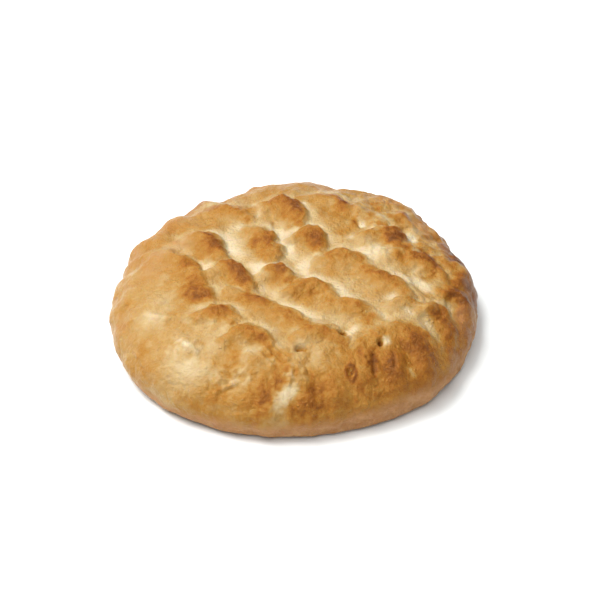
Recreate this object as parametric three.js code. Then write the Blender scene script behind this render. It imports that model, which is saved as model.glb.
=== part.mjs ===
// Pide: a round, soft flat loaf with a puffed rim, its top pressed by fingertips into rows of pillows.
// Millimetres, +Z up. The origin is on the resting plane, under the middle of the loaf.
import * as THREE from "three";

const { clamp, degToRad, lerp, radToDeg, smoothstep } = THREE.MathUtils;

// ---- Driving dimensions ----------------------------------------------------------------------

const meanRadius = 112; // half the loaf's width, before the outline's unevenness
const loafHeight = 45; // the resting plane to the top of the dome, before its middle sinks
const widestHeight = 15; // height of the loaf's widest level
const footShare = 0.895; // the flat foot's radius over the widest radius
const domeFullness = 3.4; // higher keeps the dome flat for longer before it rolls over the rim
const centreSink = 3; // how far the middle of the top sinks
const sinkEdge = [0.2, 0.72]; // shares of the radius between which the sinking fades out

// The outline of a loaf shaped by hand: a few broad lobes, each [waves round it, mm, degrees of the crest].
const outlineLobes = [
  [2, 2.3, 68],
  [3, 2.1, -37],
  [4, 1.0, -31],
];

// Where the rim puffed up or was held back, each [degrees, half-width in degrees, mm].
const rimPuffs = [
  [172, 5, -2.0],
  [156, 6, 2.2],
  [125, 5, 1.2],
  [113, 6, -1.4],
  [86, 8, 1.4],
  [76, 5, -1.6],
  [52, 8, 2.0],
  [29, 6, -0.8],
  [10, 8, 1.6],
  [335, 8, -2.4],
  [292, 22, -2.8],
  [250, 16, -1.6],
  [208, 12, -1.2],
];
const rimEdge = [0.72, 0.92]; // shares of the radius between which a puff comes in
const puffEdge = [0, 9]; // heights over which a puff fades in under the flank

// ---- The pressed top -------------------------------------------------------------------------

// Each pillow of dough that swelled between the finger marks is given by its top edge: [x and y of the edge's
// left end, x and y of its right end, bow of the edge to the far side, reach of the near side, height].
const pillows = [
  [-59, 66, -30, 52, 6, 14, 3.5],
  [-70, 30, -44, 12, 10, 17, 5],
  [-81, 17, -55, -17, 7, 16, 3],
  [-55, -9, -27, -16, 15, 15, 5],
  [-66, -22, -50, -30, 6, 11, 3],
  [-29, 40, -14, 11, 9, 15, 5],
  [-21, -12, -3, -11, 11, 11, 5],
  [-25, 62, 4, 47, 14, 15, 5],
  [-38, -24, 8, -55, 3, 11, 4],
  [5, 73, 32, 60, 9, 12, 3],
  [-2, 30, 16, 21, 12, 14, 5],
  [13, 6, 42, 1, 11, 15, 4.5],
  [39, -2, 65, -23, 4, 12, 4],
  [-4, -23, 22, -27, 11, 11, 5],
  [22, -31, 45, -41, 2, 10, 3.5],
  [51, -36, 71, -33, 4, 9, 3],
  [33, 64, 53, 45, 3, 8, 2],
  [41, 33, 65, 22, 11, 15, 5],
  [55, 13, 87, 1, 7, 15, 4],
  [51, 59, 71, 53, 6, 10, 2.5],
  [88, 17, 99, 0, 6, 10, 3],
  [89, -15, 101, -23, 6, 8, 3],
  [-40, -66, -15, -69, 9, 12, 4],
  [-55, -45, -35, -49, 6, 12, 4],
  [1, -65, 27, -66, 7, 11, 4],
  [42, -64, 79, -64, 13, 14, 3],
  [72, -38, 91, -43, 9, 11, 4],
];
const farReach = 8; // how far the steep side of a pillow runs out
const nearEase = 2; // how gently the near side runs out
const farEase = 1.2; // the same for the steep side
const turnEdge = [-0.5, 0.5]; // how far round the end of an edge its near side turns into the steep one
const edgeSteps = 6; // straight steps along a pillow's top edge
const endShare = 0.55; // a pillow's reach and height at the ends of its edge, over those at the middle
const blendPower = 3; // how sharply one pillow gives way to the next
const floorDrop = 1.8; // how far the floor between the pillows lies below the plain dome
const rimDrop = 1.0; // the same out at the rim
const reliefEdge = [widestHeight - 3, widestHeight + 8]; // heights between which the relief comes in

// The long troughs that run between the pillows, each [half-width, depth, the points of its line].
const troughs = [
  [8, 2, [[-40, 45], [-39, 22], [-26, 4], [-20, -16], [-7, -32], [9, -42], [30, -53]]],
  [6, 2.5, [[-10, 45], [-9, 24], [2, 7], [3, -2]]],
  [5, 2.5, [[70, -6], [77, -16]]],
  [5, 2.5, [[74, -40], [83, -56]]],
];

// ---- Mesh fineness ---------------------------------------------------------------------------

const topRings = 26; // steps from the middle of the top to the widest level
const flankRings = 6; // steps from there in under the flank to the foot
const baseRings = 3; // steps across the flat foot
const allRings = topRings + flankRings + baseRings;
const topSpacing = 0.9; // below 1 the top's steps are shorter near the rim, where it rolls over

// ---- Shape -----------------------------------------------------------------------------------

function outlineRadius(angle) {
  return outlineLobes.reduce(
    (radius, [waves, size, crest]) => radius + size * Math.cos(waves * (angle - degToRad(crest))),
    meanRadius,
  );
}

// The loaf's section at a ring: its share of the outline's radius, its height, and which way it faces.
function sectionAt(ring) {
  if (ring <= topRings) {
    const turn = ((ring / topRings) ** topSpacing * Math.PI) / 2;
    return topSection(Math.sin(turn));
  }
  if (ring <= topRings + flankRings) {
    const turn = ((ring - topRings) / flankRings) * (Math.PI / 2);
    const share = footShare + (1 - footShare) * Math.cos(turn);
    return { share, height: widestHeight * (1 - Math.sin(turn)), lean: Math.PI / 2 };
  }
  const inwards = (ring - topRings - flankRings) / baseRings;
  return { share: footShare * (1 - inwards), height: 0, lean: Math.PI };
}

function topSection(share) {
  const step = 1e-3;
  const fall = topHeight(Math.max(share - step, 0)) - topHeight(Math.min(share + step, 1));
  return { share, height: topHeight(share), lean: Math.atan2(fall, 2 * step * meanRadius) };
}

function topHeight(share) {
  const dome = (loafHeight - widestHeight) * Math.sqrt(Math.max(1 - share ** domeFullness, 0));
  return widestHeight + dome - centreSink * (1 - smoothstep(share, ...sinkEdge));
}

function rimSwelling(angle, share, height) {
  const puffs = rimPuffs.map(([direction, halfWidth, size]) => {
    const away = THREE.MathUtils.euclideanModulo(radToDeg(angle) - direction + 180, 360) - 180;
    return size * Math.exp(-((away / halfWidth) ** 2));
  });
  const swelling = puffs.reduce((sum, puff) => sum + puff, 0);
  return swelling * smoothstep(share, ...rimEdge) * smoothstep(height, ...puffEdge);
}

// The points along a pillow's top edge, which bows out and stands highest in the middle.
function pillowEdge([x1, y1, x2, y2, bow, reach, height]) {
  const start = new THREE.Vector2(x1, y1);
  const end = new THREE.Vector2(x2, y2);
  const way = end.clone().sub(start).normalize();
  const farSide = new THREE.Vector2(-way.y, way.x);
  return Array.from({ length: edgeSteps + 1 }, (_, i) => {
    const part = i / edgeSteps;
    const middle = 1 - (2 * part - 1) ** 2;
    const place = start.clone().lerp(end, part).addScaledVector(farSide, bow * middle);
    const fade = lerp(endShare, 1, middle);
    return { place, reach: reach * fade, height: height * fade };
  });
}

// The nearest point of a line to a place: how far it is, on which side, and how far along its step.
function nearestOn(line, place) {
  let nearest = { distance: Infinity };
  for (let i = 1; i < line.length; i++) {
    const way = line[i].clone().sub(line[i - 1]);
    const offset = place.clone().sub(line[i - 1]);
    const part = clamp(offset.dot(way) / way.lengthSq(), 0, 1);
    offset.addScaledVector(way, -part);
    const distance = offset.length();
    if (distance < nearest.distance) {
      const left = way.cross(offset) / (way.length() * Math.max(distance, 1e-6));
      nearest = { distance, left, step: i, part };
    }
  }
  return nearest;
}

// How high a pillow stands at a place: it drops off steeply left of its edge and runs out on the right.
function pillowHeight(edge, place) {
  const { distance, left, step, part } = nearestOn(edge.map((point) => point.place), place);
  const reach = lerp(edge[step - 1].reach, edge[step].reach, part);
  const height = lerp(edge[step - 1].height, edge[step].height, part);
  const far = smoothstep(left, ...turnEdge);
  const inside = Math.max(1 - (distance / lerp(reach, farReach, far)) ** 2, 0);
  return height * inside ** lerp(nearEase, farEase, far);
}

function troughDepth([halfWidth, depth, line], place) {
  const { distance } = nearestOn(line.map(([x, y]) => new THREE.Vector2(x, y)), place);
  return depth * Math.exp(-((distance / halfWidth) ** 2));
}

const pillowEdges = pillows.map(pillowEdge);

// How far the pressed and risen top stands above the plain dome.
function topRelief(place, share) {
  const sum = pillowEdges.reduce((total, edge) => total + pillowHeight(edge, place) ** blendPower, 0);
  const pressed = Math.max(...troughs.map((trough) => troughDepth(trough, place)));
  return sum ** (1 / blendPower) - pressed - lerp(floorDrop, rimDrop, smoothstep(share, ...rimEdge));
}

// ---- The loaf --------------------------------------------------------------------------------

// A sheet of dough is wrapped round the loaf and gathered in the middle of the base. The squares one inside
// the other on the sheet become the rings of the loaf, so that the steps stay even all over the top.
function makeLoaf() {
  const geometry = new THREE.PlaneGeometry(2, 2, 2 * allRings, 2 * allRings);
  const position = geometry.attributes.position;
  for (let i = 0; i < position.count; i++) {
    const x = position.getX(i);
    const y = position.getY(i);
    const ring = Math.round(Math.max(Math.abs(x), Math.abs(y)) * allRings);
    position.setXYZ(i, ...loafPoint(ring, angleOnSquare(x, y)));
  }
  cutShortWay(geometry);
  geometry.computeBoundingBox();
  const middle = geometry.boundingBox.getCenter(new THREE.Vector3());
  geometry.translate(-middle.x, -middle.y, 0);
  geometry.computeVertexNormals();
  return geometry;
}

// Cuts each square along its shorter diagonal, which keeps the triangles full where the sheet is rounded off.
function cutShortWay(geometry) {
  const index = geometry.index.array;
  const corner = (i) => new THREE.Vector3().fromBufferAttribute(geometry.attributes.position, i);
  for (let i = 0; i < index.length; i += 6) {
    const [a, b, d, , c] = index.slice(i, i + 5);
    if (corner(a).distanceTo(corner(c)) < corner(b).distanceTo(corner(d))) {
      index.set([a, b, c, a, c, d], i);
    }
  }
}

// The direction of a point on a square's edge, once the square is rounded off into a circle.
function angleOnSquare(x, y) {
  if (Math.abs(x) >= Math.abs(y)) return (x < 0 ? Math.PI : 0) + (x === 0 ? 0 : ((Math.PI / 4) * y) / x);
  return (Math.sign(y) * Math.PI) / 2 - ((Math.PI / 4) * x) / y;
}

function loafPoint(ring, angle) {
  const { share, height, lean } = sectionAt(ring);
  const outward = new THREE.Vector2(Math.cos(angle), Math.sin(angle));
  const place = outward.clone().multiplyScalar(share * outlineRadius(angle));
  const pressed = smoothstep(height, ...reliefEdge) * topRelief(place, share);
  const relief = pressed + rimSwelling(angle, share, height);
  place.addScaledVector(outward, relief * Math.sin(lean));
  return [place.x, place.y, height + relief * Math.cos(lean)];
}

const crust = new THREE.MeshStandardMaterial({ color: 0xd09a52, roughness: 0.5, metalness: 0 });
const loaf = new THREE.Mesh(makeLoaf(), crust);
loaf.name = "loaf";

const pide = new THREE.Group();
pide.add(loaf);
export default pide;
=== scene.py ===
import math

import bpy
import numpy as np
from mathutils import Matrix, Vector, noise


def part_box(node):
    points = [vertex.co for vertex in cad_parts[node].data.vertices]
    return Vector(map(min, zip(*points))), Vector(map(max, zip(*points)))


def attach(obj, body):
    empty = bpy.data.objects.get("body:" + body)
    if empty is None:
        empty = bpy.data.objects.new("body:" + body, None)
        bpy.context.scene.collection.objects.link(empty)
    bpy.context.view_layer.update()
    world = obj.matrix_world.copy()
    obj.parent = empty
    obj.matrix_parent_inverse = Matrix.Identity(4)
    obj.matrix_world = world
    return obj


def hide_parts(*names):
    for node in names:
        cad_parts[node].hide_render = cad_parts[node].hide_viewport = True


MM = 0.001
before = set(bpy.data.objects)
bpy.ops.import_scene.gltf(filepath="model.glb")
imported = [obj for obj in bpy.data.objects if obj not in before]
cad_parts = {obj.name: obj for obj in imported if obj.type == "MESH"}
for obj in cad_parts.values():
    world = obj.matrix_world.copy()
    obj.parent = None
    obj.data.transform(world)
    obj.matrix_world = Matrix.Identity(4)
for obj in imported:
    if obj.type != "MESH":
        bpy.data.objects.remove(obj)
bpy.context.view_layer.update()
loaf_low, loaf_high = (np.array(corner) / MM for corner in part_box("loaf"))

# %% [markdown]
# ## Camera
# The loaf is seen from the front and above, from far enough away that a long lens hardly tapers it. The
# camera stands on a sphere round the point that it looks at, so a distance and a height angle place it.
# %% Camera
camera_height = math.radians(38)
camera_distance = 1.15
aim = Vector((0.0040, -0.0107, 0.0242))
camera_data = bpy.data.cameras.new("camera")
camera_data.lens = 116
camera_data.sensor_width = 36
camera = bpy.data.objects.new("camera", camera_data)
bpy.context.scene.collection.objects.link(camera)
camera.location = aim + camera_distance * Vector((0, -math.cos(camera_height), math.sin(camera_height)))
camera.rotation_euler = (math.pi / 2 - camera_height, 0, 0)
bpy.context.scene.camera = camera
print("camera at", [round(c, 3) for c in camera.location])

# %% [markdown]
# ## Table
# A sheet of white paper, much larger than the view, so that the camera sees no edge or horizon. It is
# slightly blue, which cancels the warmth of the lamps and lets the paper come out white.
# %% Table
table_size = 8
bluish_white = (0.88, 0.925, 0.95, 1)
bpy.ops.mesh.primitive_plane_add(size=table_size, location=(0, 0, 0))
table = bpy.context.object
table.name = "table"
paper = bpy.data.materials.new("white paper")
paper.use_nodes = True
paper_shader = paper.node_tree.nodes["Principled BSDF"]
paper_shader.inputs["Base Color"].default_value = bluish_white
paper_shader.inputs["Roughness"].default_value = 0.9
table.data.materials.append(paper)
print("table:", table_size, "m wide")

# %% [markdown]
# ## Light
# One broad lamp high on the left, a little behind the loaf, models the pillows: the slopes of the marks that
# face it light up and the others fall off. A weaker one in front and above lifts the near side, and the pale
# surround keeps the shadows open. Large lamps give soft shadows, as a studio's softboxes do.
# %% Light
studio = bpy.data.worlds.new("studio")
studio.use_nodes = True
surround = studio.node_tree.nodes["Background"]
surround.inputs["Color"].default_value = (1.0, 0.992, 0.98, 1)
surround.inputs["Strength"].default_value = 0.28
bpy.context.scene.world = studio


def softbox(name, azimuth, height, distance, size, watts, colour):
    """A square lamp that faces the loaf. azimuth is counted from +X towards +Y, in degrees."""
    lamp_data = bpy.data.lights.new(name, "AREA")
    lamp_data.size = size
    lamp_data.energy = watts
    lamp_data.color = colour
    lamp = bpy.data.objects.new(name, lamp_data)
    turn, rise = math.radians(azimuth), math.radians(height)
    towards = Vector((math.cos(turn) * math.cos(rise), math.sin(turn) * math.cos(rise), math.sin(rise)))
    lamp.location = towards * distance
    lamp.rotation_euler = towards.to_track_quat("Z", "Y").to_euler()
    bpy.context.scene.collection.objects.link(lamp)


softbox("key", azimuth=168, height=62, distance=1.8, size=1.3, watts=49, colour=(1.0, 0.975, 0.94))
softbox("fill", azimuth=270, height=62, distance=1.6, size=1.2, watts=14, colour=(1.0, 0.985, 0.96))
bpy.context.scene.view_settings.view_transform = "Standard"

# %% [markdown]
# ## Reading and moving a mesh's points
# A crust like this can be sculpted by hand with brushes. Here each brush is a short formula instead, worked
# out for all points at once with numpy, so the loaf comes out the same every time and each mark can be
# moved by changing a number. These helpers fetch a mesh's points, put them back, and fade softly between
# two values.
# %% Helpers for points
def read_points(piece):
    points = np.empty(len(piece.data.vertices) * 3)
    piece.data.vertices.foreach_get("co", points)
    return points.reshape(-1, 3)


def write_points(piece, points):
    piece.data.vertices.foreach_set("co", np.asarray(points, float).ravel())
    piece.data.update()


def smooth(low, high, values):
    """0 at low and below, 1 at high and above, with a soft start and end."""
    part = np.clip((values - low) / (high - low), 0, 1)
    return part * part * (3 - 2 * part)


# %% [markdown]
# ## A round of dough
# The top of the loaf needs an even, fine mesh, because the marks are everywhere. A disc made of rings has
# thin slivers in its middle. A grid is even all over, and sliding each of its squares-within-squares out into
# a ring makes it round.
# %% A grid rounded off
grid_steps = 300
bpy.ops.object.select_all(action="DESELECT")
bpy.ops.mesh.primitive_grid_add(x_subdivisions=grid_steps, y_subdivisions=grid_steps, size=2)
loaf = bpy.context.object
loaf.name = "loaf_crust"

square = read_points(loaf)
across, along = square[:, 0], square[:, 1]
ring = np.maximum(abs(across), abs(along))
safe = np.where(ring > 0, ring, 1)
angle = np.where(
    abs(across) >= abs(along),
    np.where(across >= 0, 0, np.pi) + np.pi / 4 * along / safe * np.sign(across),
    np.sign(along) * np.pi / 2 - np.pi / 4 * across / safe * np.sign(along),
)
outward = np.stack([np.cos(angle), np.sin(angle)], 1)
print("points:", len(square))

# %% [markdown]
# The outline isn't a true circle: a few slow waves round it make it as uneven as a hand-shaped loaf.
# The section goes over the crown, round the shoulder, and in under the flank to the foot. Its middle sinks
# a little, since the rim of a pide puffs up more.
# %% Outline and section
mean_radius = 112.0
loaf_height = 45.0
widest_height = 15.0
foot_share = 0.895
dome_fullness = 3.4
centre_sink = 3.0
sink_reach = (0.2, 0.72)
# Waves round the outline: how many, how high in millimetres, and where the first crest is, in degrees.
outline_lobes = [(2, 2.3, 68), (3, 2.1, -37), (4, 1.0, -31)]


def outline_radius(angle):
    radius = np.full_like(angle, mean_radius)
    for waves, size, crest in outline_lobes:
        radius += size * np.cos(waves * (angle - math.radians(crest)))
    return radius


def loaf_section(steps=400):
    """Points from the crown to the foot: the run to each, its share of the radius and its height."""
    turn = np.linspace(0, np.pi / 2, steps)
    top_share = np.sin(turn)
    top = widest_height + (loaf_height - widest_height) * np.sqrt(1 - top_share**dome_fullness)
    top = top - centre_sink * (1 - smooth(*sink_reach, top_share))
    flank_share = foot_share + (1 - foot_share) * np.cos(turn)
    flank = widest_height * (1 - np.sin(turn))
    share = np.concatenate([top_share, flank_share[1:]])
    height = np.concatenate([top, flank[1:]])
    run = np.concatenate([[0], np.cumsum(np.hypot(np.diff(share) * mean_radius, np.diff(height)))])
    return run, share, height


print("radius from", round(outline_radius(angle).min(), 1), "to", round(outline_radius(angle).max(), 1), "mm")


# %% [markdown]
# Each ring of the grid goes to its place along the section, so the rings are evenly spaced on the skin.
# The direction in which the skin faces there is kept, because the marks are pressed in along it.
# %% The plain round
run, section_share, section_height = loaf_section()
share = np.interp(ring * run[-1], run, section_share)
height = np.interp(ring * run[-1], run, section_height)
slope = np.unwrap(np.arctan2(-np.gradient(section_height), np.gradient(section_share * mean_radius)))
lean = np.interp(ring * run[-1], run, slope)
plan = (share * outline_radius(angle))[:, None] * outward
surface = np.column_stack([plan, height])
facing = np.column_stack([outward * np.sin(lean)[:, None], np.cos(lean)])
print("rings", round(run[-1] / grid_steps * 2, 2), "mm apart")

# %% [markdown]
# ## Rim puffs
# Round the rim the dough swelled more in some places and was held back in others. Each puff is a bump in
# the outline, full at the shoulder and gone at the foot, where the dough sat on the hot floor of the oven.
# %% Rim puffs
# Angle and half-width in degrees, and how far out in millimetres.
rim_puffs = [
    (182, 4, -1.6),
    (171, 4, -3.0),
    (157, 4, 3.0),
    (149, 4, -0.8),
    (139, 3, 1.4),
    (134, 3, -1.6),
    (124, 3, 2.4),
    (118, 3, -2.2),
    (109, 3, -1.2),
    (102, 3, 0.6),
    (86, 7, 1.4),
    (77, 4, -2.6),
    (53, 7, 2.4),
    (29, 4, -1.2),
    (18, 7, 1.0),
    (8, 6, 2.0),
    (334, 8, -3.2),
    (292, 22, -2.8),
    (250, 16, -1.6),
    (214, 6, 1.4),
    (208, 12, -1.6),
]
puff_share = (0.72, 0.92)
puff_foot = (0, 9)

swelling = np.zeros(len(angle))
for direction, half_width, size in rim_puffs:
    away = (np.degrees(angle) - direction + 180) % 360 - 180
    swelling += size * np.exp(-((away / half_width) ** 2))
swelling *= smooth(*puff_share, share) * smooth(*puff_foot, height)
print("rim swells by", np.round([swelling.min(), swelling.max()], 1), "mm")

# %% [markdown]
# ## Unevenness
# Nothing in dough is straight or even. Smooth noise gives lumps of any size, and noise that shifts the plan
# sideways makes the edges of marks and pillows wander, large and small, as stretched dough does.
# %% Lumps and wandering edges
def lumps(points, size, seed):
    """Smooth noise from -1 to 1, with lumps about this many millimetres across."""
    return np.array([noise.noise(Vector((x / size, y / size, z / size + seed))) for x, y, z in points])


def wander(plan, reach, size, seeds):
    """The plan pushed sideways by up to this many millimetres, in waves of this size."""
    return plan + reach * np.stack([lumps(surface, size, seed) for seed in seeds], 1)


stray_plan = wander(plan, reach=2.4, size=11, seeds=(3.3, 41.7))
stray_plan = wander(stray_plan, reach=2.0, size=4.5, seeds=(13.3, 51.7))
print("edges wander by up to", round(np.abs(stray_plan - plan).max(), 1), "mm")

# %% [markdown]
# ## Finger marks
# A finger leaves a trough that is steep on the side it pushed against and shallow on the other. Where marks
# run into each other they make a long furrow. Each furrow is a run of points with its own half-width and
# depth at each, and a place on the loaf is pressed by the nearest point of the run.
# %% Runs of the fingertips
# x, y, half-width and depth at each point, in millimetres.
troughs = [
    # the long furrow from the back left down to the front, which ends in a hole
    [(-42, 50, 6, 1.5), (-39, 38, 8, 2.5), (-39, 22, 7, 3), (-32, 12, 5, 3), (-26, 4, 4, 3),
     (-22, -6, 4, 3), (-20, -16, 4, 2.5), (-13, -25, 4, 2.5), (-7, -32, 4, 3), (1, -38, 4, 3),
     (9, -42, 4, 3.5), (19, -46, 4, 3), (30, -52, 4, 5)],
    [(-12, 49, 3, 2), (-10, 40, 4, 3), (-9, 24, 4, 3), (-3, 16, 6, 3), (2, 7, 6, 3.5), (3, -1, 4, 3)],
    [(-26, 70, 3, 2.5), (-25, 58, 3, 3)],
    [(69, -2, 5, 3), (71, -8, 4, 2.5), (76, -14, 4, 3.5)],
    [(41.5, 49, 3, 3.5)],
    [(55, 62, 5, 2)],
    [(68, 42, 3, 3), (69, 34, 3, 3)],
    [(-56, 6, 4, 3), (-51, -7, 4, 2)],
    [(55, -22, 5, 1.5), (52, -32, 6, 2), (46, -41, 5, 3)],
    [(68, -34, 4, 0.8), (74, -42, 4, 2.5), (80, -50, 3, 3), (83, -56, 3, 2.5)],
    [(91, -22, 3, 4), (94, -31, 3, 4)],
    [(-76, 38, 3, 2), (-71, 29, 3, 2)],
    [(-58, -57, 6, 1.5)],
    [(12, -78, 4, 1.2)],
    [(-46, -82, 3, 1.2), (-48, -92, 4, 1.2)],
    # the back right shoulder is all small dents
    [(82, 34, 4, 2.5)], [(88, 22, 3, 2.5)], [(76, 55, 4, 2)], [(92, 4, 4, 2)], [(84, -4, 4, 2)],
    [(38, 78, 4, 2)], [(-52, 60, 4, 1.5)], [(-84, 22, 4, 1.2)], [(-70, -8, 5, 1.2)],
    [(-76, -30, 5, 1.0)],
]
steep_side = (-0.8, -0.6)
print("runs:", len(troughs), "points:", sum(len(run) for run in troughs))


def nearest_on(run, plan):
    """The nearest point of a run: how far, its half-width, its depth, and 1 on the steep side of it."""
    found = [np.full(len(plan), 1e6), np.ones(len(plan)), np.zeros(len(plan)), np.zeros(len(plan))]
    steps = list(zip(run, run[1:])) or [(run[0], run[0])]
    for start, end in steps:
        start, end = np.array(start, float), np.array(end, float)
        way = end[:2] - start[:2]
        part = np.clip((plan - start[:2]) @ way / max(way @ way, 1e-9), 0, 1)[:, None]
        nearest = start + (end - start) * part
        offset = plan - nearest[:, :2]
        distance = np.hypot(*offset.T)
        side = offset @ steep_side / np.maximum(distance, 1e-6)
        closer = distance / nearest[:, 2] < found[0] / found[1]
        values = (distance, nearest[:, 2], nearest[:, 3], side)
        found = [np.where(closer, new, old) for new, old in zip(values, found)]
    return found


# %% [markdown]
# The trough's wall falls off faster on its steep side, and a wider, shallow shoulder joins it to the dough
# around. The pressed skin bakes pale. The pale is shifted onto the slope that rises towards the right and
# faces the lamp, so the wall turned from it stays brown: painted light and shade.
# %% Pressing the marks
# A bell's width in half-widths and its power, each with what the steep side changes in it.
wall_width, wall_narrowing = 1.30, 0.50
wall_power, wall_sharpening = 2.1, 0.7
pale_width, pale_narrowing, pale_power = 1.10, 0.35, 2.2
wall_share, shoulder_share = 0.8, 0.2
shoulder_width = 6
lip_place, lip_width = 1.3, 0.5
# Shifts the pale towards the slope that faces the lamp: painted light, with the shaded wall left brown as
# painted shade.
lit_side_pale_shift = (2.0, 0.5)
pale_depths = (0.5, 3.5)
# How several marks or pillows add up in one place: the higher this is, the less they pile up.
blend_power = 4


def press(run, plan):
    """What the fingers did along a run: how deep, how pale, and the lip squeezed up on the steep side."""
    distance, half_width, depth, side = nearest_on(run, plan)
    reach = distance / half_width
    wall_reach = reach / (wall_width - wall_narrowing * side)
    wall = np.exp(-(wall_reach ** (wall_power + wall_sharpening * side)))
    shoulder = np.exp(-((distance / (half_width + shoulder_width)) ** 2))
    pressed = depth * (wall_share * wall + shoulder_share * shoulder)
    lip = np.exp(-(((reach - lip_place) / lip_width) ** 2)) * smooth(0.0, 0.8, side) * smooth(2, 6, depth)
    # The pale is read at a shifted place, so it lies on the lit slope and not on the shaded wall: painted
    # light and shade.
    distance, half_width, depth, side = nearest_on(run, plan - lit_side_pale_shift)
    pale_reach = distance / half_width / (pale_width - pale_narrowing * side)
    pale = np.exp(-(pale_reach**pale_power)) * smooth(*pale_depths, depth)
    return pressed, pale, lip


depths, pales, lips = zip(*[press(run, stray_plan) for run in troughs])
pressed = sum(depth**blend_power for depth in depths) ** (1 / blend_power)
pale = np.max(pales, axis=0)
lip = np.max(lips, axis=0)
print("marks:", len(troughs), "up to", round(pressed.max(), 1), "mm deep")

# %% [markdown]
# ## Holes and wrinkles
# Where a bubble broke, a narrow hole is left. Where the skin was pulled or slid, it is wrinkled: some folds
# go in and some stand up. Both are runs again, with a plain round section.
# %% Holes and wrinkles
# x, y, half-width and depth at each point, in millimetres.
holes = [
    [(28, -58.5, 2.4, 7)],
    [(2.5, -72, 1.8, 5), (6, -72.5, 1.6, 4)],
    [(49.5, -65.5, 1.8, 6.5)],
    [(-50.5, -54, 1.5, 2.2)],
    [(-38, -93, 1.1, 1.8)],
]
# The same, with a minus depth for a fold that stands up.
wrinkles = [
    [(-63, -62, 1.6, -1.4), (-61, -68, 1.6, -1.6), (-56, -72, 1.6, -1.0)],
    [(-86, -37, 2.0, -1.0), (-74, -44, 2.0, -1.4)],
    [(-36, -96, 1.0, 0.8), (-43, -98, 1.0, 0.7)],
    [(-34, -93, 1.2, -1.0), (-45, -97, 1.2, -1.0)],
    [(-17, -73, 1.0, -1.0), (-7, -84, 1.0, -1.0)],
    [(-13, -71, 1.0, -1.0), (-4, -81, 1.0, -1.0)],
    [(-20, -76, 1.0, -0.8), (-12, -86, 1.0, -0.8)],
    [(-10, -70, 1.0, -0.7), (-2, -78, 1.0, -0.7)],
    [(-1, -88, 1.3, -1.2), (-3, -96, 1.3, -1.0)],
    [(5, -83, 1.2, 0.9), (9, -90, 1.2, 0.9)],
    [(45, -74, 1.3, 1.0), (46, -85, 1.3, 1.0)],
    [(56, -70, 1.2, 0.9), (57, -79, 1.2, 0.9)],
    [(37, -70, 1.3, 0.7), (38, -80, 1.3, 0.7)],
    [(-60, 20, 1.2, 0.7), (-53, 8, 1.2, 0.7)],
    [(-64, 16, 1.2, 0.6), (-57, 12, 1.2, 0.6)],
]
groove_width, groove_power = 1.15, 2.4


def fine_depth(run, plan):
    """The depth of a hole or a fold. Its section is a bell too."""
    distance, half_width, depth, _ = nearest_on(run, plan)
    return depth * np.exp(-((distance / half_width / groove_width) ** groove_power))


hole = sum(fine_depth(run, plan) for run in holes)
wrinkle = sum(fine_depth(run, plan) for run in wrinkles)
print("holes:", len(holes), "wrinkles:", len(wrinkles))

# %% [markdown]
# ## Pillows
# Between the marks the dough swells into pillows. Each leans away from the baker: its near side runs out
# gently and its far side drops steeply, so it is given by its top edge, a bow from a left to a right end.
# %% Top edges of the pillows
# x and y of the left end, x and y of the right end, how far the edge bows out to the far side between them,
# how far the near side runs out, and the height, in millimetres.
pillows = [
    (-59, 66, -30, 52, 6, 14, 3.5),
    (-70, 30, -44, 12, 10, 17, 5),
    (-81, 17, -55, -17, 7, 16, 3),
    (-55, -9, -27, -16, 15, 15, 5),
    (-66, -22, -50, -30, 6, 11, 3),
    (-29, 40, -14, 11, 9, 15, 5),
    (-21, -12, -3, -11, 11, 11, 5),
    (-25, 62, 4, 47, 14, 15, 5),
    (-38, -24, 8, -55, 3, 12, 3.4),
    (5, 73, 32, 60, 9, 12, 3),
    (-2, 30, 16, 21, 12, 14, 5),
    (13, 6, 42, 1, 11, 15, 4.5),
    (39, -2, 65, -23, 4, 12, 4),
    (-4, -23, 22, -27, 11, 11, 5),
    (22, -31, 45, -41, 2, 10, 3.5),
    (51, -36, 71, -33, 4, 9, 3),
    (33, 64, 53, 45, 3, 8, 2),
    (41, 33, 65, 22, 11, 15, 5),
    (55, 13, 87, 1, 7, 15, 4),
    (51, 59, 71, 53, 6, 10, 2.5),
    (88, 17, 99, 0, 6, 10, 3),
    (89, -15, 101, -23, 6, 8, 3),
    (-40, -66, -15, -69, 9, 12, 4),
    (-55, -45, -35, -49, 6, 12, 4),
    (1, -65, 27, -66, 7, 11, 4),
    (42, -64, 79, -64, 13, 18, 2.4),
    (72, -38, 91, -43, 9, 11, 4),
]


def pillow_edge(x1, y1, x2, y2, bow, reach, size, steps=6):
    """Points along a pillow's top edge: x, y, reach, height and toast, which grows to the right and is partly
    painted shade.
    """
    start, way = np.array([x1, y1]), np.array([x2 - x1, y2 - y1])
    left = np.array([-way[1], way[0]]) / np.hypot(*way)
    run = []
    for part in np.linspace(0, 1, steps + 1):
        middle = 1 - (2 * part - 1) ** 2
        # The ends of the edge are about half as high, and reach about half as far, as its middle.
        fade = 0.55 + 0.45 * middle
        # The last number, the toast, rises towards the right end, where the pillow turns from the lamp:
        # partly browning, partly painted shade.
        run.append((*(start + way * part + left * bow * middle), reach * fade, size * fade, 0.5 + part))
    return run


print("top edges of pillows:", len(pillows))


# %% [markdown]
# The top edge of a pillow is nearest to the oven's roof and browns into a crest. The crest is also darker at
# its right end and runs a little way down the far slope, both of which turn from the lamp: that part is
# painted shade. The valley behind it lies in its shade and stays pale. Distances are counted from the top
# edge.
# %% Shape, crest and valley of a pillow
usual_height = 5
far_width = 6.4
near_power, far_power_drop = 2.0, 0.65
# The third crest number is how far the crest's brown runs down the shaded far slope: painted shade.
crest_width, crest_near_extra, crest_reach_into_shade = 2.0, 4.5, 3.2
valley_start, valley_end = (3.6, 6.4), (7.5, 14.0)
pillow_unevenness = 0.35


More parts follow.
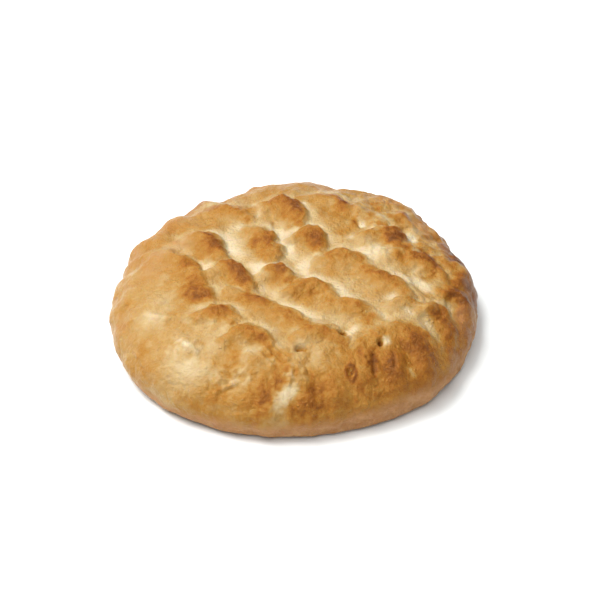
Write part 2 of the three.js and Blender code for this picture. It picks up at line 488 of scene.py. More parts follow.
def pillow(run, plan):
    """A pillow: its height, its shape from 0 to 1, the browned crest with its painted shade, and the pale
    valley behind it.
    """
    found = [np.full(len(plan), 1e6), np.ones(len(plan)), *np.zeros((3, len(plan)))]
    for start, end in zip(run, run[1:]):
        start, end = np.array(start, float), np.array(end, float)
        way = end[:2] - start[:2]
        left = np.array([-way[1], way[0]]) / np.hypot(*way)
        part = np.clip((plan - start[:2]) @ way / (way @ way), 0, 1)[:, None]
        nearest = start + (end - start) * part
        offset = plan - nearest[:, :2]
        distance = np.maximum(np.hypot(*offset.T), 1e-3)
        closer = distance < found[0]
        values = (distance, *nearest[:, 2:].T, offset @ left / distance)
        found = [np.where(closer, new, old) for new, old in zip(values, found)]
    distance, near_width, size, toast_and_shade, left = found
    far = smooth(-0.5, 0.5, left)
    width = near_width + (far_width - near_width) * far
    shape = np.clip(1 - (distance / width) ** 2, 0, 1) ** (near_power - far_power_drop * far)
    crest = np.exp(-((distance / (crest_width + crest_near_extra * (1 - far))) ** 2))
    # The crest's brown reaches a little way down the far slope, which lies out of the lamp's light: painted
    # shade.
    crest = crest * smooth(-0.4, 0.6, crest_reach_into_shade - distance * far)
    valley = far * smooth(*valley_start, distance) * (1 - smooth(*valley_end, distance))
    return size, shape, crest * toast_and_shade * size / usual_height, valley * size / usual_height


sizes, shapes, crests_and_shade, valleys = zip(*[pillow(pillow_edge(*row), stray_plan) for row in pillows])
raised = sum((size * shape) ** blend_power for size, shape in zip(sizes, shapes)) ** (1 / blend_power)
raised *= 1 + pillow_unevenness * lumps(surface, 10, 44.4)
crest = np.max(crests_and_shade, axis=0)
inside = np.max(shapes, axis=0)
valley = np.max(valleys, axis=0) * (1 - smooth(0.2, 0.5, inside))
print("pillows:", len(pillows), "up to", round(raised.max(), 1), "mm high")

# %% [markdown]
# ## Swellings
# Nearer the rim the dough wasn't pressed, and only swells a little here and there. Each swelling is a soft
# spot, longer one way than the other. The same soft spot is the brush that browns the crust further on.
# %% Swellings
# x, y, half-width, stretch, heading in degrees, and height.
swellings = [
    (-86, 16, 11, 1.4, 40, 2.0),
    (-76, 50, 8, 1.5, 45, 2.5),
    (-87, -38, 11, 1.4, 75, 2.5),
    (-66, -68, 10, 1.6, -45, 2.5),
    (-99, -10, 8, 1.6, 90, 1.5),
    (-47, -86, 7, 1.4, -60, 1.5),
    (-22, -84, 8, 1.5, -60, 2.0),
    (2, -88, 6, 2.0, -70, 1.8),
    (17, -78, 5, 1.6, -80, 1.2),
    (40, -82, 6, 1.8, -80, 1.8),
    (58, -78, 5, 1.8, -70, 1.5),
    (26, -98, 6, 1.5, -80, 1.5),
    (76, -76, 6, 1.6, -60, 1.2),
    (-8, 86, 12, 1.8, 0, 1.5),
    (24, 84, 8, 1.6, -5, 1.2),
]


def spot_reach(plan, x, y, half_width, stretch, heading):
    """0 in the middle of a stretched spot and 1 at its edge."""
    turn = math.radians(heading)
    offset = plan - (x, y)
    u = (offset @ (math.cos(turn), math.sin(turn))) / (half_width * stretch)
    v = (offset @ (-math.sin(turn), math.cos(turn))) / half_width
    return np.hypot(u, v)


def soft_spot(plan, x, y, half_width, stretch, heading, power=1.2):
    """1 in the middle of a stretched spot, falling to 0 outside it."""
    return np.exp(-(spot_reach(plan, x, y, half_width, stretch, heading) ** (2 * power)))


swelled = np.max([size * soft_spot(stray_plan, *spot) for *spot, size in swellings], axis=0)
print("swellings:", len(swellings))

# %% [markdown]
# ## A torn blister
# A bubble under the skin at the front burst. Its raised edge browned, and inside it the crumb shows, in
# brown and pale crumbs.
# %% Torn blister
# x, y, half-width, stretch and heading in degrees.
blister_spot = (32.5, -86.5, 2.7, 1.6, -80)
blister_ring_width = 0.32
reach = spot_reach(0.7 * plan + 0.3 * stray_plan, *blister_spot)
blister_ring = np.exp(-(((reach - 1) / blister_ring_width) ** 2))
blister_inside = 1 - smooth(0.4, 0.85, reach)
print("points inside the blister:", int((blister_inside > 0.5).sum()))

# %% [markdown]
# ## Adding up the relief
# First what the hands and the oven did: pillows up, marks, holes and wrinkles down. All of it fades out on
# the flank, which nobody pressed. The dough between the pillows lies a little lower, less so near the rim.
# %% Relief of the marks
floor_drop, rim_floor, rim_share = 1.8, 0.45, (0.72, 0.95)
mark_strength = 0.75
lip_height = 0.3
blister_edge_height, blister_depth = 0.6, 1.0
top_side = smooth(widest_height - 3, widest_height + 8, height)
relief = raised + lip_height * lip - mark_strength * np.maximum(pressed, hole) - wrinkle
relief -= floor_drop * (1 - rim_floor * smooth(*rim_share, share))
relief = (relief + swelled) * top_side + swelling
relief += blister_edge_height * blister_ring - blister_depth * blister_inside
print("relief from", round(relief.min(), 1), "to", round(relief.max(), 1), "mm")

# %% [markdown]
# Then the dough's own unevenness, from broad waves to small crumples. The back right shoulder is rougher.
# Folds run down the flank, where the skin was tucked under, and streaks down the front. Both are lumps drawn
# out along the section, so each has a width round the loaf and a length down it.
# %% Relief of the dough
# Size, seed and height of the lumps, in millimetres.
dough_lumps = [(28, 1.1, 1.0), (11, 2.2, 0.9), (5, 5.2, 0.4), (2.5, 6.6, 0.2)]
knob_height, crumple_height = 0.6, 0.8
fold_width, fold_length, fold_height = 9, 30, 1.1
streak_width, streak_length, streak_height = 4.5, 18, 0.5
streaked_side = math.radians(302)

rough_shoulder = 1.6 * soft_spot(plan, 75, 45, 40, 1.3, -45, power=1.6)
for size, seed, amount in dough_lumps:
    relief += amount * lumps(surface, size, seed)
knobs = knob_height * (1 + rough_shoulder) * lumps(surface, 9, 8.2)
relief += knobs + crumple_height * rough_shoulder * lumps(surface, 5, 18.2)
fold_places = np.column_stack([outward * mean_radius / fold_width, share * mean_radius / fold_length])
relief += fold_height * smooth(0.55, 0.85, share) * lumps(fold_places, 1, 0.0)
front = smooth(0.1, 0.9, np.cos(angle - streaked_side)) * smooth(0.55, 0.75, share)
streak_places = np.column_stack([outward * mean_radius / streak_width, share * mean_radius / streak_length])
streaks = front * lumps(streak_places, 1, 7.0)
relief += streak_height * streaks
print("roughest at", plan[np.argmax(rough_shoulder)].round(), "mm")

# %% [markdown]
# The glaze dries into a skin that crinkles as the loaf shrinks: thin creases along the lines where a smooth
# noise crosses zero, stronger in some areas than in others and absent from the pressed marks. In a few places
# at the front the skin broke up into small flakes. All relief dies away right above the foot, which lay flat
# on the floor of the oven.
# %% Crinkles and flakes
# x, y, half-width, stretch and heading in degrees.
flaky_spots = [(-33, -89, 11, 1.3, 0), (-11, -79, 8, 1.6, -50), (-2, -91, 6, 1.3, 0), (-62, -68, 9, 1.6, -30)]
plain_crease, crinkled_crease = 0.1, 0.4
flake_height = 0.7
foot_height = 6

crinkled = smooth(-0.1, 0.4, lumps(surface, 30, 9.9))
crease = 1 - smooth(0, 0.2, abs(lumps(surface, 7, 7.7)))
relief -= (plain_crease + crinkled_crease * crinkled) * crease * (1 - pale)
flaky = np.max([soft_spot(plan, *spot) for spot in flaky_spots], axis=0)
flakes = flaky * (lumps(surface, 2.6, 17.3) + 0.7 * lumps(surface, 5, 19.3))
relief += flake_height * flakes
relief *= smooth(0, foot_height, height)
print("relief with all of it from", round(relief.min(), 1), "to", round(relief.max(), 1), "mm")

# %% [markdown]
# The relief moves each point along the direction that the skin faces there. The plain round's middle is
# then set over the middle of the solid that the loaf stands for.
# %% Shape the loaf
points = surface + facing * relief[:, None]
middle = (plan.max(0) + plan.min(0)) / 2
cad_middle = (loaf_low + loaf_high)[:2] / 2
points[:, :2] += cad_middle - middle
write_points(loaf, points * MM)
print("loaf in mm:", np.round(points.max(0) - points.min(0), 1))

# %% [markdown]
# ## Foot
# The loaf lies on a flat foot. The open edge of the sheet is drawn in by extruding it towards the middle
# three times, and the last small gap is filled with one face. Then all faces are made to look outwards.
# %% Foot
bpy.ops.object.select_all(action="DESELECT")
loaf.select_set(True)
bpy.context.view_layer.objects.active = loaf
bpy.ops.object.mode_set(mode="EDIT")
bpy.ops.mesh.select_all(action="DESELECT")
bpy.ops.mesh.select_non_manifold()
for inset in (0.97, 0.6, 0.3):
    bpy.ops.mesh.extrude_region_move()
    bpy.ops.transform.resize(value=(inset, inset, 1))
bpy.ops.mesh.edge_face_add()
bpy.ops.mesh.select_all(action="SELECT")
bpy.ops.mesh.normals_make_consistent(inside=False)
bpy.ops.object.mode_set(mode="OBJECT")
bpy.ops.object.shade_smooth()
print("faces:", len(loaf.data.polygons))

# %% [markdown]
# ## Browning
# How brown the crust is could be painted by hand on the mesh. Here it is one number for each point, called
# bake: 0 is pale crust, 1 the darkest toast, and torn skin goes a little below 0. It starts even and is
# changed by spots of the same soft brush. First the places that browned more, most of them crests of pillows
# that stood nearest to the heat.
# %% Browned spots
# x, y, half-width, stretch, heading in degrees, and how much browner.
browned_spots = [
    (-49, 25, 6, 1.7, -60, 0.28), (-46.5, 20, 4, 1.5, -70, 0.14), (-34, -4, 5, 1.9, -65, 0.30),
    (-32, -13, 3.5, 1.2, -70, 0.12), (-40, 3, 3, 1.6, -30, 0.12), (-24, 27, 3.5, 1.3, -80, 0.32),
    (-16.5, 26, 2.8, 3.6, -88, 0.30), (-28, 50, 3, 1.6, 0, 0.10), (-8, -9, 5, 2.1, -85, 0.24),
    (-10, -1, 4, 1.6, 0, 0.12), (-3, 58, 7, 1.4, -60, 0.26), (0, 62, 3, 1.6, -70, 0.18),
    (-7, 55, 2.5, 1, 0, 0.18), (4, 60, 2.2, 4, -88, 0.14), (11, 28, 7, 1.5, -75, 0.28),
    (13, 24, 4, 1.2, 0, 0.12), (60, 32, 5, 1.8, -75, 0.50), (56, 42, 4, 1.4, -10, 0.20),
    (29, 12, 5, 1.8, -15, 0.20), (50, -5, 5, 1.6, -45, 0.24), (45, -9, 5, 1.2, 0, 0.10),
    (60, -12, 4, 1.6, -30, 0.12), (-60, -20, 7, 1.3, -70, 0.24), (-60, -25, 4, 1.3, 0, 0.14),
    (-52, -28, 4, 1.2, 0, 0.10), (-67, -38, 4, 1.3, 60, 0.10), (-24, -27, 3.5, 2.2, -48, 0.28),
    (-18, -34, 3, 1.8, -45, 0.18), (-30, -31, 5, 1.3, 0, 0.10), (-3, -46, 5, 1.9, -35, 0.18),
    (-45, -42, 6, 1.6, -5, 0.18), (-34, -44, 3, 1.6, -60, 0.14), (-28, -56, 8, 1.3, -20, 0.12),
    (-18, -65, 3.5, 1.4, -40, 0.20), (-34, -74, 4.5, 1.7, -65, 0.22), (10, -25, 8, 1.4, -30, 0.08),
    (33, -34, 4, 2.2, -25, 0.14), (30, -45, 6, 1.8, -10, 0.10), (10, -57, 6, 1.9, -10, 0.20),
    (24, -62, 3, 1.2, 0, 0.20), (67, 12, 4, 1.5, 0, 0.12), (75, 15, 3.5, 1.3, -20, 0.26),
    (82, 11, 5, 1.5, -25, 0.44), (77, 23, 3.5, 1.2, 0, 0.26), (29, 68, 3.5, 1.6, -100, 0.36),
    (50, 71, 4, 1.3, 0, 0.20), (60, 66, 5, 1.4, -30, 0.16), (67, 59, 3.5, 1.4, 0, 0.16),
    (37, 50, 2.2, 1.8, -80, 0.30), (20, 58, 4, 1.8, -30, 0.12), (24, 76, 4, 1.5, -20, 0.12),
    (96, 18, 4, 1.5, -70, 0.36), (96, -14, 6, 1.8, -80, 0.34), (85, -35, 6, 1.5, -30, 0.22),
    (77, -37, 5, 1.3, 0, 0.10), (91, 40, 5, 1.6, -60, 0.22), (100, 25, 5, 1.6, -70, 0.15),
    (70, -57, 9, 1.4, -20, 0.22), (73, -66, 6, 1.2, 0, 0.12), (66, -47, 4, 1.8, -10, 0.12),
    (56, -75, 2.5, 2.6, -90, 0.16), (45, -78, 3.5, 2.6, -90, 0.20), (20, -90, 5, 1.4, -80, 0.14),
    (12, -98, 6, 1.4, -80, 0.22), (-11, -96, 5.5, 2.0, 55, 0.46), (-22, -91, 3, 1.3, 0, 0.10),
    (-64, 4, 4, 1.6, 0, 0.12), (-45, -81, 2.2, 2.2, -90, 0.20), (-47, -90, 4, 1.6, -80, 0.12),
    (-36, 65, 6, 1.7, -10, 0.18), (-52, 66, 5, 1.3, 0, 0.10), (70, -25, 5, 1.5, -10, 0.14),
    (45, -79, 2.5, 2.6, -90, 0.26), (53, -82, 2.5, 2.4, -90, 0.26), (-12, -78, 6, 1.6, -48, 0.14),
    (-18, -106, 6, 1.5, 20, 0.22), (3, -108, 5, 2.2, 5, 0.22), (42, -48, 3.5, 1.3, -80, 0.20),
    (61, 32, 4, 1.4, 80, 0.30), (84, 16, 3, 1.4, -20, 0.22), (95, -15, 3, 2.4, -80, 0.26),
    (29, 69, 2.5, 1.8, -80, 0.18), (-59, -28, 9, 1.2, 0, 0.10),
]
print("browned spots:", len(browned_spots))

# %% [markdown]
# Next the places that are paler: torn skin at the front and small dents, which stayed pale, and the far walls
# of holes and a broad patch on the front-left shoulder, which are partly paler crust and partly painted
# highlight.
# %% Pale spots
# x, y, half-width, stretch, heading in degrees, and how much paler.
pale_and_highlight_spots = [
    (44, 18, 8, 2.2, -42, 0.18), (58, 2, 6, 1.6, -42, 0.12), (7, 69, 1.6, 3.2, -88, 0.20),
    (30, -20, 7, 1.8, -80, 0.16), (72, 42, 5, 1.4, -60, 0.12), (-97, 8, 3, 1.2, 0, 0.22),
    (-77, -5, 3, 1.2, 0, 0.14), (-82, -41, 5, 1.9, -25, 0.16), (-61, -67, 2.5, 2.4, -55, 0.22),
    (-60, -85, 11, 1.3, -20, 0.22), (-5, -102, 4.6, 2.2, 28, 0.60), (-2, -92, 2.5, 2.2, -80, 0.22),
    (12, -78, 3, 2.2, -100, 0.16), (-23, -72, 3.5, 1.8, 30, 0.18), (4.5, -69.5, 3, 1.3, 0, 0.14),
    (2, -90, 7, 1.4, -70, 0.10), (32.5, -57.5, 3.2, 1.6, 70, 0.40), (52.0, -65.3, 2.8, 1.3, 60, 0.62),
    (74, -48, 2.5, 1.6, -50, 0.30), (80, -56, 3, 2.4, -65, 0.22), (92, -30, 2.6, 2.6, -72, 0.40),
    (57, -24, 3, 1.3, 0, 0.12), (66, -80, 2.0, 1.6, -60, 0.45), (-57, -36, 4, 1.3, 0, 0.06),
    (-48, -51, 3, 1.3, -60, 0.16), (41, 50, 3, 1.4, -60, 0.20), (42, 48.5, 2.2, 1.4, 60, 0.45),
    (98, 13, 3.0, 1.8, -70, 0.45), (72, -9, 4.5, 1.5, -40, 0.30), (69, 40, 3, 1.5, -70, 0.26),
    (55, 55, 3, 1.6, -30, 0.22), (-63.7, -80, 5, 1.5, -30, 0.24), (41, 38, 2, 1, 0, 0.20),
    (-39, 30, 7, 2.0, -70, 0.12), (-30, -92, 8, 1.2, 0, 0.14), (-80, 20, 12, 1.3, 60, 0.04),
]
print("pale spots:", len(pale_and_highlight_spots))

# %% [markdown]
# Last the oven itself, in broad patches: it was hotter on the right than on the left. Some patches are
# painted
# light and shade as well: they darken the left side, which the lamp lights strongly, and lighten slopes that
# turn from the lamps, as at the right front. Then the spots on the rim that the brush with the glaze missed.
# %% Oven and glaze
# x, y, half-width, stretch, heading in degrees, and the change: plus for browner.
oven_and_shade_patches = [
    (-100, 5, 24, 1.4, 90, -0.02),
    (-84, 40, 22, 1.4, 55, 0.05),
    (-62, 2, 15, 1, 0, 0.10),
    (6, -80, 15, 1.3, -80, -0.13),
    (-70, 72, 20, 1.5, 40, 0.01),
    (-82, -38, 24, 1, 0, -0.16),
    (-64, -74, 20, 1, 0, -0.18),
    (54, -84, 24, 1.2, 0, 0.22),
    (82, -62, 20, 1.2, 50, 0.26),
    (100, -15, 16, 1.6, 90, 0.20),
    (14, -104, 7, 3.0, 0, 0.24),
    (-60, -98, 10, 2.0, -30, 0.14),
    (90, 30, 18, 1.2, 0, 0.12),
    (30, -15, 20, 1.0, 0, -0.08),
    (0, 96, 14, 3.5, 0, 0.04),
    (-99, -40, 16, 1.4, 110, 0.12),
    (0, 3, 12, 1.2, 0, -0.08),
    (58, -57, 11, 1.3, 0, -0.10),
    (79, -52, 12, 1.4, -50, -0.16),
    (19, -61, 10, 1.3, 0, -0.10),
    (70, -28, 14, 1.3, -30, -0.06),
    (104, 22, 8, 2.8, 95, 0.16),
    (0, -80, 10, 1.5, -70, 0.08),
    (-68, -15, 9, 1.2, 0, 0.16),
    (-69, -44, 10, 1.2, 0, 0.13),
    (10, 54, 9, 1.2, 0, -0.13),
    (51, 19, 9, 1.2, -40, -0.16),
    (10, -47, 8, 1.4, 0, -0.20),
    (68, -43, 8, 1.3, -30, -0.10),
    (-30, -96, 9, 1.3, 0, 0.08),
    (10, -94, 8, 1.2, 0, 0.08),
    (29, -95, 8, 1.2, 0, 0.05),
    (-72, 22, 9, 1.3, 0, -0.10),
    (-88, -43, 9, 1.3, 0, -0.08),
    (-9, 20, 8, 1.3, 0, -0.10),
    (-29, -44, 8, 1.3, 0, -0.08),
    (102, 30, 9, 1.8, 105, 0.24),
    (98, -38, 9, 1.6, 70, 0.14),
    (104, -5, 7, 1.6, 90, 0.10),
    (-86, 60, 10, 2.0, 55, -0.06),
    (-29, -74, 7, 1.2, 0, -0.09),
    (-10, -75, 6, 1.2, 0, 0.14),
    (48, -72, 8, 1.2, 0, -0.05),
    (-82, -70, 10, 1.4, -40, 0.07),
    (-10, -110, 7, 1.5, 0, -0.08),
    (-50, 92, 10, 1.6, 30, 0.14),
]
# The same six numbers, with the share of the glaze that is missing.
bare_spots = [
    (79, 56, 6, 1.6, -50, 0.7), (91, 37, 5, 1.8, -60, 0.3), (103, 10, 4, 2.5, -80, 0.4),
    (60, 80, 5, 2.0, -30, 0.6), (-20, 98, 6, 3.0, 0, 0.5), (20, 98, 5, 3.0, 0, 0.4),
    (-82, 54, 12, 1.7, 50, 0.5), (100, -30, 5, 2.0, 80, 0.5), (-84, 10, 10, 1.6, 80, 0.35),
    (-100, 34, 9, 2.4, 70, 0.3), (-72, 24, 9, 1.4, 60, 0.35),
]
ragged_plan = wander(plan, reach=2.2, size=7, seeds=(21.3, 31.7))
ragged_plan = wander(ragged_plan, reach=1.2, size=2.6, seeds=(23.3, 33.7))
browned = sum(change * soft_spot(ragged_plan, *spot) for *spot, change in browned_spots)
# Where a pale spot sits on a hole's wall or on the front-left shoulder it is partly a painted highlight.
paled_and_highlit = np.max([change * soft_spot(ragged_plan, *spot, 1.6) for *spot, change in pale_and_highlight_spots], axis=0)
# Broad browning from the oven, partly painted light and shade that evens out the lamps.
oven_and_shade = sum(change * soft_spot(plan, *spot) for *spot, change in oven_and_shade_patches)
bare = np.max([change * soft_spot(ragged_plan, *spot) for *spot, change in bare_spots], axis=0)
print("oven patches:", len(oven_and_shade_patches), "bare spots:", len(bare_spots))

# %% [markdown]
# The bake is added up. Crests and browned spots are patchy, not even, because the glaze is. Where they pile
# up, a soft ceiling keeps the crust from burning black.
# %% Bake of the pillows and marks
even_bake = 0.41
ceiling, ceiling_softness = 0.7, 0.25
crest_and_shade_bake, spot_bake, lip_bake = 0.18, 0.8, 0.04
valley_paleness, mark_paleness = 0.40, 0.30

patchy_crest = 1 + 0.8 * lumps(surface, 9, 15.5) + 0.9 * lumps(surface, 3.2, 55.5)
patchy_spots = 1 + 0.6 * lumps(surface, 5, 75.0) + 0.8 * lumps(surface, 2.4, 85.0)
bake = even_bake + oven_and_shade + 0.09 * lumps(surface, 16, 61.0) + 0.08 * lumps(surface, 6, 71.0)
# The crests bring painted shade with them: darker at their right ends and on their shaded far slopes.
bake += crest_and_shade_bake * crest * patchy_crest + spot_bake * browned * patchy_spots + lip_bake * lip - paled_and_highlit
bake -= valley_paleness * valley * (0.8 + 0.7 * lumps(surface, 12, 46.4))
bake -= mark_paleness * pale * (1 + 0.4 * lumps(surface, 9, 95.0))
over = bake - ceiling
bake = np.where(over > 0, ceiling + ceiling_softness * np.tanh(over / ceiling_softness), bake)
print("bake so far from", round(bake.min(), 2), "to", round(bake.max(), 2))

# %% [markdown]
# Small things keep their own browning on top of that: the edge of the blister, the raised flakes, which stay
# pale, the streaks at the front and the rough shoulder. Deep holes and the grooves of folds are darkened as
# painted shade, and raised folds are lightened as painted highlight. The outer edge is darker at the back and
# on the right, partly browner crust and partly painted shade along the far rim.
# %% Bake of the small things
blister_bake, crumb_bake, crumb_spread = 0.42, 0.05, 0.9
hole_shade_bake, fold_shade_bake, ridge_highlight_paleness = 0.5, 0.12, 0.04
flake_paleness = 0.22
streak_bake = 0.15
edge_bake_and_shade, darker_edge_side = 0.24, math.radians(65)

bake += blister_bake * blister_ring * (1 + 0.6 * lumps(surface, 4, 37.2))
bake += blister_inside * (crumb_bake - crumb_spread * lumps(surface, 1.6, 38.2))
# Darker in deep holes and fold grooves, paler on raised folds: painted shade and painted highlight.
hole_and_fold_shade = hole_shade_bake * smooth(2, 5, hole) + fold_shade_bake * np.maximum(wrinkle, 0)
bake += hole_and_fold_shade + ridge_highlight_paleness * np.minimum(wrinkle, 0)
bake -= flake_paleness * flakes
bake += streak_bake * streaks * (1 - smooth(0.92, 1.0, share))
# A darker band round the outer edge at the back and right: partly browner crust, partly painted shade along
# the far rim.
bake += edge_bake_and_shade * smooth(0.86, 0.99, share) * smooth(-0.5, 0.6, np.cos(angle - darker_edge_side))
bake += rough_shoulder * (0.14 * lumps(surface, 7, 28.2) + 0.10 * lumps(surface, 3, 48.2))
print("bake from", round(bake.min(), 2), "to", round(bake.max(), 2), "- mean", round(bake.mean(), 2))

# %% [markdown]
# The glaze is brushed on from above, so its lower edge runs round the flank. It is lowest on the left, rises
# at the front right and at the back, and dips on the right side between them. Below it the crust is dull and
# pinkish. The bake and the glaze are stored on the mesh as attributes, which the crust's material reads.
# %% Glaze line and attributes
line_height = 11
front_rise, front_side = 7, math.radians(330)
back_rise, back_side = 5, math.radians(75)
right_dip, right_side = 6, math.radians(20)
line_softness = 5

glaze_line = line_height + front_rise * np.cos(angle - front_side) + 3 * lumps(surface, 20, 81.0)
glaze_line += 1.5 * lumps(surface, 5, 91.0) + back_rise * smooth(0.1, 0.9, np.cos(angle - back_side))
glaze_line -= right_dip * smooth(0.5, 1.0, np.cos(angle - right_side))
glazed = smooth(-line_softness, line_softness, height - glaze_line) * (1 - bare)


def keep(name, values):
    """Stores one number for each point of the crust. The foot's points, which come last, get zero."""
    full = np.zeros(len(loaf.data.vertices))
    full[: len(values)] = values
    loaf.data.attributes.new(name, "FLOAT", "POINT").data.foreach_set("value", full)


keep("bake", bake)
keep("glazed", glazed)
print("attributes:", [a.name for a in loaf.data.attributes if a.data_type == "FLOAT"])

# %% [markdown]
# ## Writing shader sums as Python
# A material's maths is easier to read as a formula than as a web of nodes. Value wraps a socket, and an
# ordinary sum on it adds the Math node that does it. Finish holds a material, and one method of it adds
# any node: its kind, its settings, and what goes into its sockets.
# %% Values
class Value:
    """A shader value. Ordinary sums on it add the Math nodes that do them."""

    def __init__(self, finish, socket):
        self.finish, self.socket = finish, socket

    def sum(self, operation, first, second):
        return self.finish.node("ShaderNodeMath", {"operation": operation}, {0: first, 1: second})

    def __add__(self, other):
        return self.sum("ADD", self, other)

    def __radd__(self, other):
        return self.sum("ADD", other, self)

    def __sub__(self, other):
        return self.sum("SUBTRACT", self, other)

    def __rsub__(self, other):
        return self.sum("SUBTRACT", other, self)

    def __mul__(self, other):
        return self.sum("MULTIPLY", self, other)

    def __rmul__(self, other):
        return self.sum("MULTIPLY", other, self)


# %% [markdown]
# A colour ramp takes its stops as a setting too. The helpers below are the few patterns that the crust
# uses: an attribute, speckle from noise at a place on the object, a fade between two values, and a mix of two
# colours.
# %% Finishes
class Finish:
    """A material and the one method that adds its nodes."""

    def __init__(self, name):
        self.material = bpy.data.materials.new(name)
        self.material.use_nodes = True
        self.tree = self.material.node_tree
        self.shader = self.tree.nodes["Principled BSDF"]
        self.place = self.node("ShaderNodeTexCoord", {}, {}, "Object")

    def link(self, socket, value):
        if isinstance(value, Value):
            self.tree.links.new(value.socket, socket)
        else:
            socket.default_value = value

    def node(self, kind, settings, inputs, output=0):
        made = self.tree.nodes.new(kind)
        for name, setting in settings.items():
            if name == "stops":
                self.set_stops(made.color_ramp.elements, setting)
            else:
                setattr(made, name, setting)
        for socket, value in inputs.items():
            self.link(made.inputs[socket], value)
        return Value(self, made.outputs[output])

    def set_stops(self, elements, stops):
        elements[0].position, elements[1].position = stops[0][0], stops[-1][0]
        for position, _ in stops[1:-1]:
            elements.new(position)
        for element, (_, colour) in zip(elements, stops):
            element.color = (*colour, 1)

    def attribute(self, name):
        return self.node("ShaderNodeAttribute", {"attribute_name": name}, {}, "Fac")

    def speckle(self, kind, size, detail, roughness, distortion=0.0):
        """Noise with its largest lumps this many metres across."""
        shape = {"Scale": 1 / size, "Detail": detail, "Roughness": roughness, "Distortion": distortion}
        return self.node("ShaderNodeTexNoise", {"noise_type": kind}, {"Vector": self.place, **shape})

    def fade(self, kind, value, low, high, start=0.0, end=1.0):
        """start where the value is at low and below, end where it is at high and above."""
        ends = {0: value, 1: low, 2: high, 3: start, 4: end}
        return self.node("ShaderNodeMapRange", {"interpolation_type": kind}, ends)

    def mix(self, share, first, second):
        return self.node("ShaderNodeMix", {"data_type": "RGBA"}, {0: share, 6: first, 7: second}, 2)


# %% [markdown]
# ## Crust finish
# The bake number is broken up at sizes too fine for the mesh: a mottle of about a centimetre, a grain of a
# few millimetres that is stronger where the crust is browner, small pale dots on some cells of a Voronoi
# pattern, partly blisters and partly painted glints, and thin golden lines along the crazed glaze, partly
# the crazing and partly painted glints. All of it follows object coordinates.
# %% Speckle of the crust
mottle_size, grain_size, crazing_size = 0.010, 0.0035, 1 / 190
cells_in_a_metre = 330.0
mottle_bake, grain_bake, grain_bake_in_brown = 0.30, 0.10, 0.60
glint_line_paleness, dot_and_glint_paleness = 0.42, 0.22

crust = Finish("browned crust")
bake_level = crust.attribute("bake")
glaze = crust.attribute("glazed")
mottle = crust.speckle("FBM", mottle_size, detail=4, roughness=0.6) - 0.5
grain = crust.speckle("FBM", grain_size, detail=3, roughness=0.7) - 0.5
cells = {"Vector": crust.place, "Scale": cells_in_a_metre}
chosen_cells = crust.fade("SMOOTHSTEP", crust.node("ShaderNodeTexVoronoi", {}, cells, "Color"), 0.60, 0.95)
dots = crust.fade("SMOOTHSTEP", crust.node("ShaderNodeTexVoronoi", {}, cells, "Distance"), 0.40, 0.10)
dots = dots * chosen_cells
crazing = crust.speckle("RIDGED_MULTIFRACTAL", crazing_size, detail=2, roughness=0.5, distortion=1.0)
# The golden lines of the crazing are partly painted glints.
crazing_glint_lines = crust.fade("SMOOTHSTEP", crazing, 1.15, 1.75) * glaze * bake_level
browning = bake_level - glint_line_paleness * crazing_glint_lines + mottle_bake * mottle
browning = browning + (grain_bake + grain_bake_in_brown * bake_level) * grain
# The pale dots are partly blisters and partly painted glints.
browning = browning - dot_and_glint_paleness * bake_level * dots
print("nodes for the browning:", len(crust.tree.nodes))

# %% [markdown]
# The browning picks its colour from a ramp of crust colours, from floury cream through gold and amber to a
# dark toast. Below the glaze line a duller, pinker crust shows, mottled between two tones.
# %% Crust colours
bread_colours = [
    # The palest stops serve torn crumb and the painted highlights of some pale spots.
    (-0.25, (0.59, 0.50, 0.35)),
    (-0.08, (0.55, 0.45, 0.29)),
    (0.00, (0.53, 0.42, 0.26)),
    (0.15, (0.45, 0.322, 0.158)),
    (0.35, (0.385, 0.228, 0.075)),
    (0.50, (0.348, 0.165, 0.030)),
    (0.65, (0.295, 0.112, 0.014)),
    (0.80, (0.215, 0.070, 0.009)),
    (1.00, (0.125, 0.035, 0.005)),
]
flank_colours = ((0.36, 0.170, 0.068, 1), (0.44, 0.235, 0.106, 1))
palest, darkest = bread_colours[0][0], bread_colours[-1][0]
stops = [((amount - palest) / (darkest - palest), colour) for amount, colour in bread_colours]
ramp_place = crust.fade("LINEAR", browning, palest, darkest)
glazed_colour = crust.node("ShaderNodeValToRGB", {"stops": stops}, {0: ramp_place})
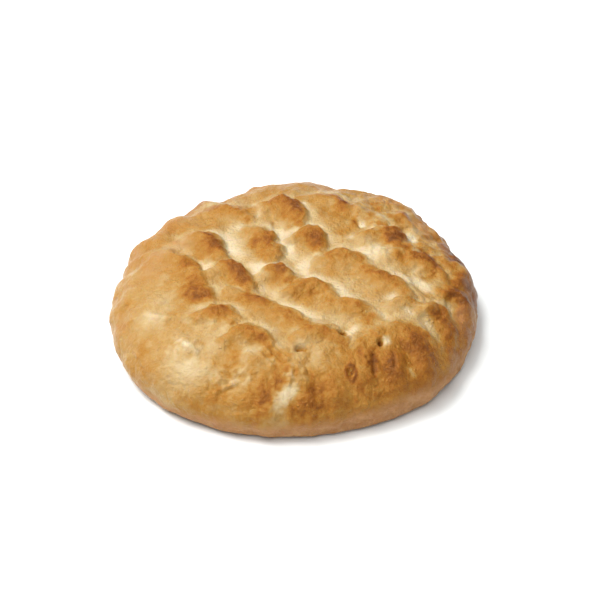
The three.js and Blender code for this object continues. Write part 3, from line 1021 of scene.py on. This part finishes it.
flank_colour = crust.mix(crust.fade("SMOOTHSTEP", mottle + grain, -0.15, 0.2), *flank_colours)
crust.link(crust.shader.inputs["Base Color"], crust.mix(glaze, flank_colour, glazed_colour))
print("crust colours:", len(bread_colours))

# %% [markdown]
# Glazed crust has a soft shine, and bare crust is dull. Bread is a little translucent, so light spreads a
# few millimetres under its skin, red further than blue, which keeps the shaded hollows warm.
# %% Shine and depth
bare_roughness, glazed_roughness, grain_roughness = 0.70, 0.32, 0.2
crust_depth = {
    "Specular IOR Level": 0.30,
    "Specular Tint": (1.0, 0.75, 0.38, 1),
    "Subsurface Weight": 0.5,
    "Subsurface Radius": (1.0, 0.5, 0.15),
    "Subsurface Scale": 0.003,
}

roughness = crust.fade("SMOOTHSTEP", glaze, 0.0, 1.0, bare_roughness, glazed_roughness)
roughness = roughness + grain_roughness * grain
crust.link(crust.shader.inputs["Roughness"], roughness)
for socket, value in crust_depth.items():
    crust.link(crust.shader.inputs[socket], value)
print("light goes", crust_depth["Subsurface Scale"] / MM, "mm deep")

# %% [markdown]
# The finest relief, about a millimetre and less, is a bump and not mesh: pores of the crumb under the skin,
# tiny creases in the glaze, the blister dots, and the raised edges of the crazing.
# %% Pores and fine creases
pore_size, crease_size = 0.0022, 1 / 220
pore_height, crease_height, dot_height, line_edge_height = 1.3, 0.5, 0.5, 0.5
bump_distance = 0.0010

pores = crust.speckle("FBM", pore_size, detail=4, roughness=0.65)
creases = crust.speckle("RIDGED_MULTIFRACTAL", crease_size, detail=3, roughness=0.5, distortion=0.8)
bump_height = pore_height * pores + crease_height * creases
bump_height = bump_height + dot_height * dots + line_edge_height * crazing_glint_lines
bump = crust.node("ShaderNodeBump", {}, {"Strength": 1.0, "Distance": bump_distance, "Height": bump_height})
crust.link(crust.shader.inputs["Normal"], bump)
loaf.data.materials.append(crust.material)
print("nodes in all:", len(crust.tree.nodes))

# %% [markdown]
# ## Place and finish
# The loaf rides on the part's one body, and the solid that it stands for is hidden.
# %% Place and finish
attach(loaf, "root")
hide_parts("loaf")
